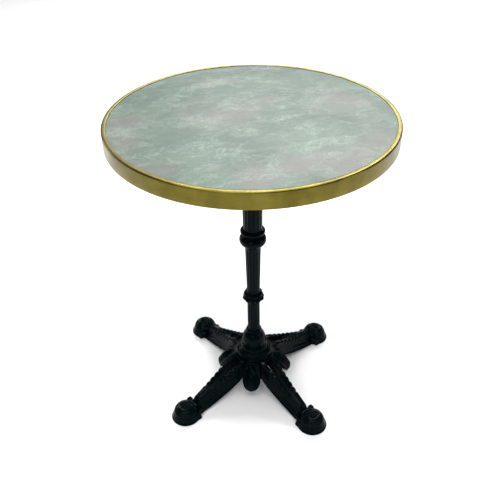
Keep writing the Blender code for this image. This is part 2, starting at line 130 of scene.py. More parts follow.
def mesh_from(name, points, faces):
    """A mesh from arrays of points in mm and of quads."""
    mesh = bpy.data.meshes.new(name)
    mesh.vertices.add(len(points))
    mesh.vertices.foreach_set("co", (points * MM).astype(np.float32).ravel())
    mesh.loops.add(faces.size)
    mesh.loops.foreach_set("vertex_index", faces.astype(np.int32).ravel())
    mesh.polygons.add(len(faces))
    mesh.polygons.foreach_set("loop_start", np.arange(0, faces.size, 4, dtype=np.int32))
    mesh.update(calc_edges=True)
    return mesh


def weld(mesh, distance=1e-7):
    """Merges seams and poles, and turns every face outwards."""
    shape = bmesh.new()
    shape.from_mesh(mesh)
    bmesh.ops.remove_doubles(shape, verts=shape.verts, dist=distance)
    bmesh.ops.dissolve_degenerate(shape, dist=distance, edges=shape.edges)
    bmesh.ops.recalc_face_normals(shape, faces=shape.faces)
    shape.to_mesh(mesh)
    shape.free()


def shell(points, close_rows=False):
    """(points, faces) of a closed skin over a grid whose columns wrap round.

    An open end is closed by folding its ring flat: each point is joined across to the one
    that mirrors it, so a channel section is capped without covering its mouth.
    """
    rows, columns = points.shape[:2]
    faces = grid_faces(rows, columns, close_rows, True)
    if not close_rows:
        near = np.arange(columns // 2 - 1)
        far = columns - 1 - near
        fold = np.stack([near, near + 1, far - 1, far], -1)
        faces = np.concatenate([faces, fold[:, ::-1], fold + (rows - 1) * columns])
    return points.reshape(-1, 3), faces


def joined(shells):
    """Several (points, faces) as one."""
    points = []
    faces = []
    start = 0
    for some_points, some_faces in shells:
        points.append(some_points)
        faces.append(some_faces + start)
        start += len(some_points)
    return np.concatenate(points), np.concatenate(faces)


def turned_about_z(points, azimuth, centre=(0.0, 0.0)):
    """Points turned by an azimuth in degrees, then moved to a centre."""
    angle = math.radians(azimuth)
    x = points[..., 0] * math.cos(angle) - points[..., 1] * math.sin(angle) + centre[0]
    y = points[..., 0] * math.sin(angle) + points[..., 1] * math.cos(angle) + centre[1]
    return np.stack([x, y, points[..., 2]], -1)


def piece(name, skin, material, nodes=(), body=BODY, angle=35):
    """A finished object from a skin: smooth shaded, riding its body, standing for CAD nodes."""
    mesh = mesh_from(name, *skin)
    weld(mesh)
    return dressed(name, mesh, material, nodes, body, angle)


def dressed(name, mesh, material, nodes, body=BODY, angle=35):
    """An object from a mesh, with its material, its body and the CAD nodes it stands for; edges
    sharper than angle degrees stay sharp."""
    mesh.materials.clear()
    mesh.materials.append(material)
    mesh.shade_smooth()
    mesh.set_sharp_from_angle(angle=math.radians(angle))
    obj = bpy.data.objects.new(name, mesh)
    bpy.context.scene.collection.objects.link(obj)
    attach(obj, body)
    if nodes:
        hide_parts(*nodes)
    return obj


def cast_together(name, skins, voxel, rounds, material, nodes, angle=60):
    """Overlapping skins fused into one casting by voxel remesh, its inner corners eased."""
    mesh = mesh_from(name, *joined(skins))
    weld(mesh)
    rough = bpy.data.objects.new(f"{name}_rough", mesh)
    bpy.context.scene.collection.objects.link(rough)
    remesh = rough.modifiers.new("fuse", "REMESH")
    remesh.mode = "VOXEL"
    remesh.voxel_size = voxel * MM
    ease = rough.modifiers.new("ease", "SMOOTH")
    ease.iterations = rounds
    ease.factor = 0.5
    graph = bpy.context.evaluated_depsgraph_get()
    fused = bpy.data.meshes.new_from_object(rough.evaluated_get(graph))
    fused.name = name
    bpy.data.objects.remove(rough, do_unlink=True)
    return dressed(name, fused, material, nodes, angle=angle)


def revolved(outline, columns, swell=None):
    """A skin turned about Z from a closed outline (radius, height) in mm.

    swell(angle, radius, height) gives what to add to the radius and to the height.
    """
    outline = np.asarray(outline, float)
    angle = np.linspace(0, TURN, columns, endpoint=False)[None, :]
    radius = np.repeat(outline[:, :1], columns, 1)
    height = np.repeat(outline[:, 1:], columns, 1)
    if swell:
        out, up = swell(angle, radius, height)
        radius = radius + out
        height = height + up
    points = np.stack([radius * np.cos(angle), radius * np.sin(angle), height], -1)
    return shell(points, close_rows=True)


# ---- materials ----------------------------------------------------------------------
def linear(hex_colour):
    """An sRGB hex colour as linear RGBA."""
    channels = [int(hex_colour[i:i + 2], 16) / 255 for i in (1, 3, 5)]
    lit = [c / 12.92 if c <= 0.04045 else ((c + 0.055) / 1.055) ** 2.4 for c in channels]
    return (*lit, 1.0)


def add(tree, kind, inputs=None, **settings):
    """Adds a node; inputs are values or sockets to link, by name or number."""
    made = tree.nodes.new(kind)
    for key, value in settings.items():
        setattr(made, key, value)
    for key, value in (inputs or {}).items():
        if isinstance(value, bpy.types.NodeSocket):
            tree.links.new(value, made.inputs[key])
        else:
            made.inputs[key].default_value = value
    return made


def new_material(name):
    """An empty node material, its tree, its shader and its object coordinates."""
    material = bpy.data.materials.new(name)
    material.use_nodes = True
    tree = material.node_tree
    shader = tree.nodes["Principled BSDF"]
    place = add(tree, "ShaderNodeTexCoord").outputs["Object"]
    return material, tree, shader, place


def per_metre(millimetres):
    """The Noise scale whose features are about this many millimetres apart."""
    return 1 / (millimetres * MM)


def mixed(tree, factor, first, second):
    """The colour between two, by a factor socket."""
    mix = add(tree, "ShaderNodeMix", {"Factor": factor}, data_type="RGBA")
    first_socket, second_socket = mix.inputs[6], mix.inputs[7]      # the node's two colours
    for socket, colour in ((first_socket, first), (second_socket, second)):
        if isinstance(colour, bpy.types.NodeSocket):
            tree.links.new(colour, socket)
        else:
            socket.default_value = colour
    return mix.outputs[2]


def black_enamel():
    """Stoved black enamel brushed over sand-cast iron.

    Near-black with a green cast, satin to glossy; the coat levels out most of the sand
    texture but leaves an orange-peel ripple and the casting's slow unevenness.
    """
    material, tree, shader, place = new_material("black_enamel_on_cast_iron")
    drift = add(tree, "ShaderNodeTexNoise", {"Vector": place, "Scale": per_metre(28),
                                             "Detail": 3.0})
    tone = add(tree, "ShaderNodeMapRange", {"Value": drift.outputs["Fac"], "From Min": 0.35,
                                            "From Max": 0.65})
    colour = mixed(tree, tone.outputs[0], linear("#01080a"), linear("#020d0f"))
    tree.links.new(colour, shader.inputs["Base Color"])
    cloud = add(tree, "ShaderNodeTexNoise", {"Vector": place, "Scale": per_metre(9), "Detail": 4.0})
    gloss = add(tree, "ShaderNodeMapRange", {"Value": cloud.outputs["Fac"], "From Min": 0.3,
                                             "From Max": 0.7, "To Min": 0.13, "To Max": 0.26})
    tree.links.new(gloss.outputs[0], shader.inputs["Roughness"])
    shader.inputs["Specular IOR Level"].default_value = 0.038
    peel = add(tree, "ShaderNodeTexNoise", {"Vector": place, "Scale": per_metre(1.4),
                                            "Detail": 2.0})
    sand = add(tree, "ShaderNodeTexNoise", {"Vector": place, "Scale": per_metre(5.5),
                                            "Detail": 3.0})
    fine = add(tree, "ShaderNodeBump", {"Height": peel.outputs["Fac"], "Strength": 0.35,
                                        "Distance": 0.00006})
    coarse = add(tree, "ShaderNodeBump", {"Height": sand.outputs["Fac"], "Strength": 0.45,
                                          "Distance": 0.0003, "Normal": fine.outputs[0]})
    tree.links.new(coarse.outputs[0], shader.inputs["Normal"])
    return material


def satin_brass():
    """Rolled brass strip, satin brushed along its length and then handled.

    The brushing runs round the rim, on the wall along it and on the lip in rings; thumb
    marks and a little tarnish change its tone and gloss. The strokes are noise that changes
    quickly only with radius plus height.
    """
    material, tree, shader, place = new_material("satin_brushed_brass")
    parts = add(tree, "ShaderNodeSeparateXYZ", {"Vector": place}).outputs
    square_x = add(tree, "ShaderNodeMath", {0: parts[0], 1: parts[0]}, operation="MULTIPLY")
    square_y = add(tree, "ShaderNodeMath", {0: parts[1], 1: parts[1]}, operation="MULTIPLY")
    square = add(tree, "ShaderNodeMath", {0: square_x.outputs[0], 1: square_y.outputs[0]})
    radius = add(tree, "ShaderNodeMath", {0: square.outputs[0]}, operation="SQRT")
    across = add(tree, "ShaderNodeMath", {0: radius.outputs[0], 1: parts[2]})
    stretch = add(tree, "ShaderNodeMath", {0: across.outputs[0], 1: 60.0}, operation="MULTIPLY")
    flow = add(tree, "ShaderNodeCombineXYZ", {0: parts[0], 1: parts[1], 2: stretch.outputs[0]})
    strokes = add(tree, "ShaderNodeTexNoise", {"Vector": flow.outputs[0], "Scale": per_metre(45),
                                               "Detail": 3.0})
    tarnish = add(tree, "ShaderNodeTexNoise", {"Vector": place, "Scale": per_metre(40),
                                               "Detail": 4.0})
    tone = add(tree, "ShaderNodeMapRange", {"Value": tarnish.outputs["Fac"], "From Min": 0.35,
                                            "From Max": 0.7})
    colour = mixed(tree, tone.outputs[0], linear("#70662b"), linear("#5a5121"))
    tree.links.new(colour, shader.inputs["Base Color"])
    shader.inputs["Metallic"].default_value = 1.0
    gloss = add(tree, "ShaderNodeMapRange", {"Value": strokes.outputs["Fac"], "From Min": 0.3,
                                             "From Max": 0.7, "To Min": 0.26, "To Max": 0.38})
    tree.links.new(gloss.outputs[0], shader.inputs["Roughness"])
    grooves = add(tree, "ShaderNodeBump", {"Height": strokes.outputs["Fac"], "Strength": 0.3,
                                           "Distance": 0.00008})
    tree.links.new(grooves.outputs[0], shader.inputs["Normal"])
    return material


def stone_laminate():
    """High-pressure laminate printed as grey-green weathered stone, satin finish.

    Broad clouds drift one way across the sheet, pale wisps in them break up into a lace of
    fine winding lines, and warm grey patches show here and there. The finest lines are drawn
    about 2 mm wide, coarser than print, so that they show.
    """
    material, tree, shader, place = new_material("stone_look_laminate")

    def drift(location):
        """The sheet's coordinates drawn out along the way the clouds run."""
        drawn = add(tree, "ShaderNodeMapping", {"Vector": place, "Location": location,
                                                "Rotation": (0, 0, math.radians(22)),
                                                "Scale": (1.0, 0.70, 1.0)}, vector_type="TEXTURE")
        return drawn.outputs[0]

    def noise(vector, spacing, detail, roughness):
        """Cloudy noise with features about spacing mm apart."""
        return add(tree, "ShaderNodeTexNoise", {"Vector": vector, "Scale": per_metre(spacing),
                                                "Detail": detail, "Roughness": roughness})

    def level(value, low, high, start=0.0, reach=1.0):
        """From start to reach as the value runs from low to high."""
        return add(tree, "ShaderNodeMapRange", {"Value": value, "From Min": low, "From Max": high,
                                                "To Min": start, "To Max": reach}).outputs[0]

    def lines(vector, spacing, half, strength):
        """Fine winding lines: strength where rough noise crosses its middle value, falling to
        0 where it is half away from it."""
        texture = noise(vector, spacing, 10.0, 0.72)
        offset = add(tree, "ShaderNodeMath", {0: texture.outputs[0], 1: 0.5}, operation="SUBTRACT")
        size = add(tree, "ShaderNodeMath", {0: offset.outputs[0]}, operation="ABSOLUTE")
        return level(size.outputs[0], 0.0, half, strength, 0.0)

    def product(first, second):
        """Two factors multiplied."""
        return add(tree, "ShaderNodeMath", {0: first, 1: second}, operation="MULTIPLY").outputs[0]

    plain = drift((0.38, -0.02, 0.0))
    warp = noise(plain, 50, 4.0, 0.5)
    bent = add(tree, "ShaderNodeMix", {"Factor": 0.08}, data_type="VECTOR")
    tree.links.new(plain, bent.inputs[4])                    # the node's first vector
    tree.links.new(warp.outputs["Color"], bent.inputs[5])    # and its second
    flow = bent.outputs[1]
    cloud = noise(flow, 110, 8.0, 0.66).outputs[0]
    patch = noise(drift((-0.34, 0.27, 0.0)), 190, 5.0, 0.55).outputs[0]
    lace = noise(flow, 24, 12.0, 0.85).outputs[0]
    where = level(noise(flow, 80, 6.0, 0.70).outputs[0], 0.47, 0.63)
    grain = noise(place, 2.6, 4.0, 0.7)
    ground = mixed(tree, level(cloud, 0.38, 0.62), linear("#4d5c52"), linear("#5e6d62"))
    warmed = mixed(tree, level(patch, 0.50, 0.62, 0.0, 0.72), ground, linear("#706a68"))
    laced = mixed(tree, level(lace, 0.50, 0.62, 0.0, 0.36), warmed, linear("#798a7f"))
    veined = mixed(tree, product(lines(flow, 21, 0.030, 0.66), where), laced, linear("#94a699"))
    haired = mixed(tree, product(lines(flow, 9, 0.045, 0.50), where), veined, linear("#94a699"))
    colour = mixed(tree, level(grain.outputs[0], 0.38, 0.66, 0.0, 0.34), haired, linear("#46544c"))
    tree.links.new(colour, shader.inputs["Base Color"])
    shader.inputs["Roughness"].default_value = 0.45
    shader.inputs["Specular IOR Level"].default_value = 0.24
    emboss = add(tree, "ShaderNodeBump", {"Height": grain.outputs["Fac"], "Strength": 0.12,
                                          "Distance": 0.00008})
    tree.links.new(emboss.outputs[0], shader.inputs["Normal"])
    return material


def chipboard():
    """Pressed wood chips, raw edge: short pale and brown flakes."""
    material, tree, shader, place = new_material("raw_chipboard")
    flakes = add(tree, "ShaderNodeTexVoronoi", {"Vector": place, "Scale": per_metre(3.0)})
    fibre = add(tree, "ShaderNodeTexNoise", {"Vector": place, "Scale": per_metre(1.5),
                                             "Detail": 4.0})
    tint = add(tree, "ShaderNodeSeparateColor", {"Color": flakes.outputs["Color"]})
    chips = mixed(tree, tint.outputs[0], linear("#b08d5c"), linear("#8a6a40"))
    colour = mixed(tree, fibre.outputs["Fac"], chips, linear("#c9aa78"))
    tree.links.new(colour, shader.inputs["Base Color"])
    shader.inputs["Roughness"].default_value = 0.85
    bump = add(tree, "ShaderNodeBump", {"Height": fibre.outputs["Fac"], "Strength": 0.6,
                                        "Distance": 0.0003})
    tree.links.new(bump.outputs[0], shader.inputs["Normal"])
    return material


def phenolic_backing():
    """Matt black balancing sheet with a faint linen press mark."""
    material, tree, shader, place = new_material("phenolic_backing_sheet")
    weave = add(tree, "ShaderNodeTexNoise", {"Vector": place, "Scale": per_metre(1.2),
                                             "Detail": 2.0})
    haze = add(tree, "ShaderNodeTexNoise", {"Vector": place, "Scale": per_metre(60), "Detail": 3.0})
    colour = mixed(tree, haze.outputs["Fac"], linear("#23211f"), linear("#302e2b"))
    tree.links.new(colour, shader.inputs["Base Color"])
    shader.inputs["Roughness"].default_value = 0.62
    bump = add(tree, "ShaderNodeBump", {"Height": weave.outputs["Fac"], "Strength": 0.3,
                                        "Distance": 0.0001})
    tree.links.new(bump.outputs[0], shader.inputs["Normal"])
    return material


def zinc_plate():
    """Bright zinc plating on turned steel: cool grey with a cloudy passivated tone."""
    material, tree, shader, place = new_material("zinc_plated_steel")
    cloud = add(tree, "ShaderNodeTexNoise", {"Vector": place, "Scale": per_metre(4), "Detail": 4.0})
    colour = mixed(tree, cloud.outputs["Fac"], linear("#b9bcc0"), linear("#a3a8a4"))
    tree.links.new(colour, shader.inputs["Base Color"])
    shader.inputs["Metallic"].default_value = 1.0
    gloss = add(tree, "ShaderNodeMapRange", {"Value": cloud.outputs["Fac"], "To Min": 0.28,
                                             "To Max": 0.45})
    tree.links.new(gloss.outputs[0], shader.inputs["Roughness"])
    return material


def moulded_nylon():
    """Black moulded nylon with a fine spark-eroded texture."""
    material, tree, shader, place = new_material("moulded_black_nylon")
    grain = add(tree, "ShaderNodeTexNoise", {"Vector": place, "Scale": per_metre(0.8),
                                             "Detail": 2.0})
    colour = mixed(tree, grain.outputs["Fac"], linear("#1b1b1b"), linear("#262626"))
    tree.links.new(colour, shader.inputs["Base Color"])
    shader.inputs["Roughness"].default_value = 0.55
    bump = add(tree, "ShaderNodeBump", {"Height": grain.outputs["Fac"], "Strength": 0.4,
                                        "Distance": 0.00006})
    tree.links.new(bump.outputs[0], shader.inputs["Normal"])
    return material


IRON = black_enamel()
BRASS = satin_brass()
LAMINATE = stone_laminate()
FINISHES = {
    "black_iron": IRON, "brass": BRASS, "laminate": LAMINATE, "chipboard": chipboard(),
    "black_backing": phenolic_backing(), "zinc_steel": zinc_plate(), "nylon": moulded_nylon(),
}
for part in frame["record"]["subparts"]:
    cad_mesh = frame["nodes"][part["node"]].data
    cad_mesh.materials.clear()
    cad_mesh.materials.append(FINISHES[part["material_slot"]])


# ---- column -------------------------------------------------------------------------
FLUTES = 16
FLUTE_SHARE = 0.86        # how much of the pitch a flute takes; the rest is the arris


def fluted(depth, low, high, fade=5.0):
    """Swell for a fluted shaft: each flute is a shallow round hollow between narrow arrises,
    and it runs out near low and high. The hollow is depth times the square root of 1 less the
    square of the share of the way from its middle to its edge."""
    def swell(angle, radius, height):
        across = np.abs((angle * FLUTES / TURN) % 1.0 - 0.5) * 2
        hollow = np.sqrt(np.clip(1 - (across / FLUTE_SHARE) ** 2, 0, 1))
        ends = ramp(height, low, low + fade) * (1 - ramp(height, high - fade, high))
        outer = radius > ROD_BORE + 3
        return -depth * hollow * ends * outer, 0.0
    return swell


def bored(outer, bore, count, corner=0.6):
    """An outer line, top to bottom, sampled finely and closed up a straight bore."""
    line = along(outer, count, corner)
    line[0] = outer[0]
    line[-1] = outer[-1]
    top = outer[0][1]
    bottom = outer[-1][1]
    return np.concatenate([line, [(bore, bottom), (bore, top)]])


def upper_shaft():
    """Wide fluted tube from the collar to the top plate's cup."""
    low = height_range("double_collar")[1]
    tube_bore = 17.5
    outer = [(23.2, SHAFT_TOP), (22.7, 513), (22.2, low + STACK_GAP)]
    skin = revolved(bored(outer, tube_bore, 60), FLUTES * 16, fluted(0.9, low + 2, SHAFT_TOP - 8))
    piece("upper_shaft_fluted", skin, IRON, ["upper_shaft"])


def tapered_shaft():
    """Fluted shaft that narrows downwards, with a small flare under the collar."""
    low = height_range("ornament_ring")[1] + STACK_GAP
    outer = [(19.4, 425.2), (18.8, 417), (18.5, 410), (17.9, 390), (17.2, 350), (16.2, 310),
             (15.9, low)]
    skin = revolved(bored(outer, ROD_BORE, 80, 3.0), FLUTES * 14, fluted(1.15, low + 1, 418))
    piece("tapered_shaft_fluted", skin, IRON, ["tapered_shaft"])


def lower_shaft():
    """Slim fluted shaft between the bell and the ornamented ring."""
    low = BELL_TOP + STACK_GAP
    high = 256.5
    outer = [(15.3, high), (15.2, low)]
    skin = revolved(bored(outer, ROD_BORE, 60), FLUTES * 14, fluted(1.1, low + 1, high - 1))
    piece("lower_shaft_fluted", skin, IRON, ["lower_shaft"])


def double_collar():
    """Two turned beads parted by a crisp groove, the lower one bowl-shaped."""
    upper = [(22.2 + 6.7 * math.cos(a), 462.0 + 6.2 * math.sin(a))
             for a in np.radians(np.arange(78, -51, -8))]
    lower = [(16.0 + 15.4 * max(math.cos(a), 0) ** 0.75, 439.0 + 13.6 * math.sin(a))
             for a in np.radians(np.arange(66, -71, -4))]
    outer = [(22.4, 468.5), *upper, (25.2, 455.6), (24.9, 454.4), (22.3, 453.4), *lower,
             (20.4, 425.9), (19.6, 425.5)]
    skin = revolved(bored(outer, ROD_BORE, 150, 0.5), 240)
    piece("double_collar_turned", skin, IRON, ["double_collar"])


def ornament_ring():
    """Cast capital: a crown of curled leaves over a smaller row, and beads below."""
    top_end = 289.8
    bottom_end = 256.8
    outer = [(16.2, top_end), (16.3, 285.8), (17.6, 284.4), (19.8, 282.6), (21.6, 280.0),
             (22.4, 277.4), (21.4, 275.2), (23.8, 272.6), (24.9, 269), (24.4, 265.6), (21.8, 262.6),
             (18.8, 260.6), (17.8, 259.4), (17.4, 258), (16.4, bottom_end)]

    def swell(angle, radius, height):
        """Two staggered rows of ten leaves, each the 0.7 power of a cosine round the ring with
        four fine ribs on it, then a row of 18 beads."""
        top = hump(height, 281.5, 8.5)
        middle = hump(height, 268, 7.5)
        beads = hump(height, 259.6, 2.6)
        leaf_top = np.abs(np.cos(5 * angle + 0.35 * (height - 281) / 6)) ** 0.7
        leaf_middle = np.abs(np.sin(5 * angle + 0.3 * (height - 268) / 6)) ** 0.7
        rib = 0.5 * np.abs(np.cos(20 * angle))
        out = top * (3.6 * leaf_top - 1.9 + rib) + middle * (3.4 * leaf_middle - 1.8 + rib)
        out = out + beads * 1.5 * np.abs(np.cos(9 * angle))
        up = 1.4 * top * (leaf_top - 0.5) - 1.2 * middle * (leaf_middle - 0.5)
        live = radius > 14
        fade = ramp(top_end - height, 0, 3) * ramp(height - bottom_end, 0, 3)
        return out * live, up * live * fade

    skin = revolved(bored(outer, ROD_BORE, 120, 0.6), 480, swell)
    piece("ornament_ring_leaves", skin, IRON, ["ornament_ring"])


def column_bell():
    """Bell: beaded neck, flared shoulder, bulb, cove, ribbed step and thin rim."""
    outer = [(15.2, 166.3), (17.6, 165.9), (18.6, 164), (18.6, 162.4), (17.8, 161.2), (18.4, 160),
             (19.4, 158), (21.7, 154), (23.8, 151), (26.2, 147), (28.6, 140.5), (30.3, 134),
             (31.0, 127), (30.7, 120), (29.7, 114.5), (28.9, 111.2), (29.2, 109.8), (30.6, 109.2),
             (31.2, 107.8), (31.4, 106), (33.0, 103.2), (36.0, 100.6), (37.6, 99.8), (38.2, 99.2),
             (39.5, 97.6), (43.6, 95.6), (44.4, 95.9), (45.6, 96.0), (46.4, 95.0), (46.4, 93.4),
             (45.2, 92.4), (44.6, 91.0), (45.4, 89.6), (46.4, BELL_BOTTOM)]

    def swell(angle, radius, height):
        """Sixteen beads round the neck and 40 short radial ribs on the step."""
        neck = hump(height, 163.2, 2.6) * (radius > 16)
        step = hump(radius, 41.2, 3.2) * (height > 95)
        beads = np.abs(np.cos(8 * angle)) ** 0.8
        ribs = np.clip(np.cos(40 * angle), -0.2, 1)
        return neck * (1.5 * beads - 0.7), 1.1 * step * ribs

    skin = revolved(bored(outer, ROD_BORE, 190, 0.45), 480, swell)
    piece("column_bell_turned", skin, IRON, ["column_bell"])


# ---- base casting -------------------------------------------------------------------
# Stations along a leg: distance out, half width and height of its top edges, half width
# and height of its bottom edges, mm.
LEG_OUT = (40, 58, 80, 100, 140, 180, 200)
LEG_TOP_HALF = (20.0, 23.0, 19.8, 17.0, 12.8, 9.0, 8.5)
LEG_TOP = (87.8, 87.8, 79.6, 71.0, 54.2, 37.6, 33.5)
LEG_FOOT_HALF = (24.0, 28.0, 26.5, 24.0, 22.5, 23.0, 23.0)
LEG_FOOT = (60, 48, 34, 23, 11, 4, 2)
GAP_END = 99.0            # where the open gap between the rails closes
RAIL = 5.5                # wall thickness of the hollow outer part of a leg
CREST = 4.4               # depth of the cuts between barbs along a top edge
NOTCH_PITCH = 14.5        # the cuts' spacing, and the first and last of them
NOTCH_FIRST = 79.0
NOTCH_LAST = 154.0
CASTING_VOXEL = 0.75      # grain of the remesh that fuses a casting


def leg_lines(out):
    """Top half width, top height, bottom half width and bottom height at each distance."""
    return [eased(out, LEG_OUT, line, 7.0)
            for line in (LEG_TOP_HALF, LEG_TOP, LEG_FOOT_HALF, LEG_FOOT)]


def notch(out, lean):
    """Feather-edge scallops: 0 on a barb's round back, rising to 1 in the cut behind it."""
    phase = (out - NOTCH_FIRST + lean) / NOTCH_PITCH
    cut = 1 - np.abs(np.sin(np.pi * phase)) ** 0.55
    live = ramp(out, NOTCH_FIRST - 6, NOTCH_FIRST) * (1 - ramp(out, NOTCH_LAST - 4, NOTCH_LAST + 4))
    return cut * live


def side_relief(out, down, depth):
    """How far a rail's flank stands out, by distance out, fraction down and flank depth.

    A raised bead follows the top edge and arches down beside the lobe; inside it the panel
    is sunk; barbs are cut across its upper part; and a long dart-shaped groove opens
    towards the foot.
    """
    from_hub = out - 57.0
    from_top = down * depth
    corner = 13.0
    inside = corner - np.hypot(np.clip(corner - from_hub, 0, None),
                               np.clip(corner - from_top, 0, None))
    inside = np.minimum(inside, np.minimum(from_hub, from_top) + 100 * (inside < corner))
    panel = ramp(inside, 4.0, 6.5) * (1 - ramp(down, 0.90, 0.96))
    relief = 1.0 - 2.3 * panel
    barb = notch(out, 22 * down)
    reach = (1 - ramp(down, 0.20, 0.36)) * ramp(out, 74, 84)
    relief = relief - 2.0 * barb * reach
    dart_half = 0.105 * ramp(out, 104, 178)
    dart_middle = 0.60 + 0.0005 * (out - 110)
    dart = np.clip(1 - ((down - dart_middle) / np.maximum(dart_half, 1e-3)) ** 2, 0, 1)
    return relief - 2.6 * np.sqrt(dart) * (1 - ramp(out, 177, 184)) * ramp(out, 104, 116)


def flank(out, side, steps):
    """Points down a rail's outer flank as (out, across, height): straight lines from its top
    edge, notched, to its bottom edge, pushed out by the relief."""
    top_half, top, foot_half, foot = leg_lines(out)
    top = top - nose(out)
    down = np.linspace(0, 1, steps)[None, :]
    out_grid = np.repeat(out[:, None], steps, 1)
    crest = CREST * notch(out_grid, 0.0) * (1 - ramp(down, 0.0, 0.14))
    depth = (top - foot)[:, None]
    across = top_half[:, None] + (foot_half - top_half)[:, None] * down
    height = top[:, None] - crest - depth * down
    across = across + side_relief(out_grid, down, depth)
    return np.stack([out_grid, side * across, height], -1)


def nose(out):
    """How far a leg's top drops as it rounds over in front of the foot."""
    return 15.0 * np.clip((out - 181) / 15, 0, 1) ** 2


def strip(out, stations, steps):
    """A strip of a section through (across, height) stations, at each distance out."""
    share = np.linspace(0, 1, steps)
    place = [station[0] for station in stations]
    lines = []
    for axis in (1, 2):
        line = np.stack([np.broadcast_to(station[axis], out.shape) for station in stations], 1)
        lines.append(np.stack([np.interp(share, place, row) for row in line]))
    return np.stack([np.repeat(out[:, None], steps, 1), *lines], -1)


def rail(side):
    """One rail of a leg, from inside the hub to where the gap between the rails closes.

    Its section goes down the outer flank and back up the plain inner wall, then over a
    rounded and notched top.
    """
    out = np.linspace(42, GAP_END + 8, 130)
    top_half, top, _, foot = leg_lines(out)
    outer = flank(out, side, 60)
    inner = np.interp(out, (42, 58, 80, 92, 110), (7.6, 8.4, 8.8, 8.0, 6.6))
    inner_foot = np.interp(out, (42, 58, 72, 85, 110), (9.0, 10.4, 11.2, 10.4, 8.6))
    lift = CREST * notch(out, 0.0)
    top_line = [
        (0.00, side * (top_half - 0.8), top + 0.9 - lift),
        (0.10, side * (top_half - 2.2), top + 1.5 - lift),
        (0.20, side * (top_half - 3.8), top + 1.3 - lift * 0.8),
        (0.32, side * (inner + 2.5), top + 0.2 - lift * 0.4),
        (0.42, side * (inner + 0.4), top - 1.8),
        (0.70, side * inner_foot, (top + foot) / 2),
        (1.00, side * inner_foot, foot),
    ]
    return shell(np.concatenate([outer, strip(out, top_line, 60)[:, ::-1]], axis=1))


def leg_body():
    """The outer part of a leg: two flanks, a feathered trough between them and a hollow
    underside, closed where it runs into the foot.

    The roof is the top line plus a bead along each edge, less a trough that fades into a
    crown, plus a feather of cosine vanes swept back from a quill down its middle.
    """
    out = np.linspace(GAP_END - 1, 197, 230)
    top_half, top, foot_half, foot = leg_lines(out)
    top = top - nose(out)
    right = flank(out, -1, 60)
    left = flank(out, 1, 60)[:, ::-1]
    share = np.linspace(-1, 1, 60)[None, :]
    across = (top_half[:, None] - 0.8) * share
    out_grid = np.repeat(out[:, None], 60, 1)
    sunk = 6.0 * (1 - ramp(out_grid, 118, 158))
    border = ramp(np.abs(share), 0.55, 0.86)
    crown = 2.4 * ramp(out_grid, 128, 162) * (1 - share ** 2)
    vane = np.cos(TURN * (out_grid + 1.3 * np.abs(across)) / 7.0)
    live = (1 - border) * (1 - ramp(out_grid, 150, 160)) * ramp(np.abs(share), 0.05, 0.2)
    feather = 1.0 * vane * live
    quill = 1.5 * hump(np.abs(across), 0.0, 2.2) * (1 - ramp(out_grid, 150, 165))
    lift = CREST * notch(out_grid, 0.0) * border
    bead = 0.9 * hump(np.abs(share), 0.88, 0.14)
    height = top[:, None] + 0.8 + bead - sunk * (1 - border) + crown + feather + quill - lift
    roof = np.stack([out_grid, across, height], -1)
    open_part = 1 - ramp(out, 168, 184)
    cell_half = (foot_half - RAIL) * (0.2 + 0.8 * open_part)
    roof_half = (top_half - RAIL) * (0.2 + 0.8 * open_part)
    cell_roof = foot + (top - 15.0 - foot) * open_part
    under = strip(out, [(0.0, cell_half, foot), (0.3, roof_half, cell_roof),
                        (0.7, -roof_half, cell_roof), (1.0, -cell_half, foot)], 180)
    section = [right[:, ::-1], roof, left[:, ::-1], under]
    return shell(np.concatenate(section, axis=1))


FOOT_SKIRT = 36.6         # radius of the foot's skirt at the floor
BALL_RADIUS = 29.4        # the crown of a foot: half an ellipsoid of this radius
BALL_RISE = 18.8          # and this height
BALL_BASE = 17.6          # standing this far above the floor


def foot_dome():
    """Foot in its own frame (out, across, height): a ball crown above two stepped rings and
    a flared skirt, hollow underneath for the glide, ridges across an oval on its crown.

    The crown is half an ellipsoid moved along its normals by a bump round the oval, cosine
    ridges inside it and two ring grooves outside it.
    """
    columns = 220
    polar = np.radians(np.linspace(1, 90, 90))
    ball = np.stack([BALL_RADIUS * np.sin(polar), BALL_BASE + BALL_RISE * np.cos(polar)], 1)
    skirt = along([(BALL_RADIUS, BALL_BASE), (28.6, 16.9), (28.8, 16.1), (30.2, 15.6), (30.8, 14.6),
                   (31.8, 11.0), (33.6, 6.0), (FOOT_SKIRT - 0.3, 1.4), (FOOT_SKIRT, 0.6),
                   (FOOT_SKIRT - 0.5, 0.0), (26.2, 0.0), (25.0, 1.2), (25.0, 13.9),
                   (7.3, 13.9), (7.3, 31.2), (0.05, 31.2)], 220, 0.3)
    outline = np.concatenate([ball, skirt])
    angle = np.linspace(0, TURN, columns, endpoint=False)[None, :]
    radius = np.repeat(outline[:, :1], columns, 1)
    height = np.repeat(outline[:, 1:], columns, 1)
    x = radius * np.cos(angle)
    y = radius * np.sin(angle)
    on_ball = (np.arange(len(outline)) < len(ball))[:, None]
    oval = np.hypot((x - 3.0) / 12.0, y / 15.0)
    rim = 1.6 * hump(oval, 1.0, 0.20)
    ridges = 1.3 * np.cos(TURN * (x - 3.0) / 4.6) * (1 - ramp(oval, 0.66, 0.84))
    rings = -1.4 * hump(radius, 23.4, 1.3) - 1.4 * hump(radius, 26.6, 0.9)
    rings = rings + 0.7 * hump(radius, 25.2, 1.2)
    grow = (rim + ridges + rings) * on_ball
    normal = np.stack([x / BALL_RADIUS, y / BALL_RADIUS, (height - BALL_BASE) / BALL_RISE], -1)
    normal = normal / np.maximum(np.linalg.norm(normal, axis=-1, keepdims=True), 1e-6)
    points = np.stack([x, y, height], -1) + normal * grow[..., None]
    return shell(points)


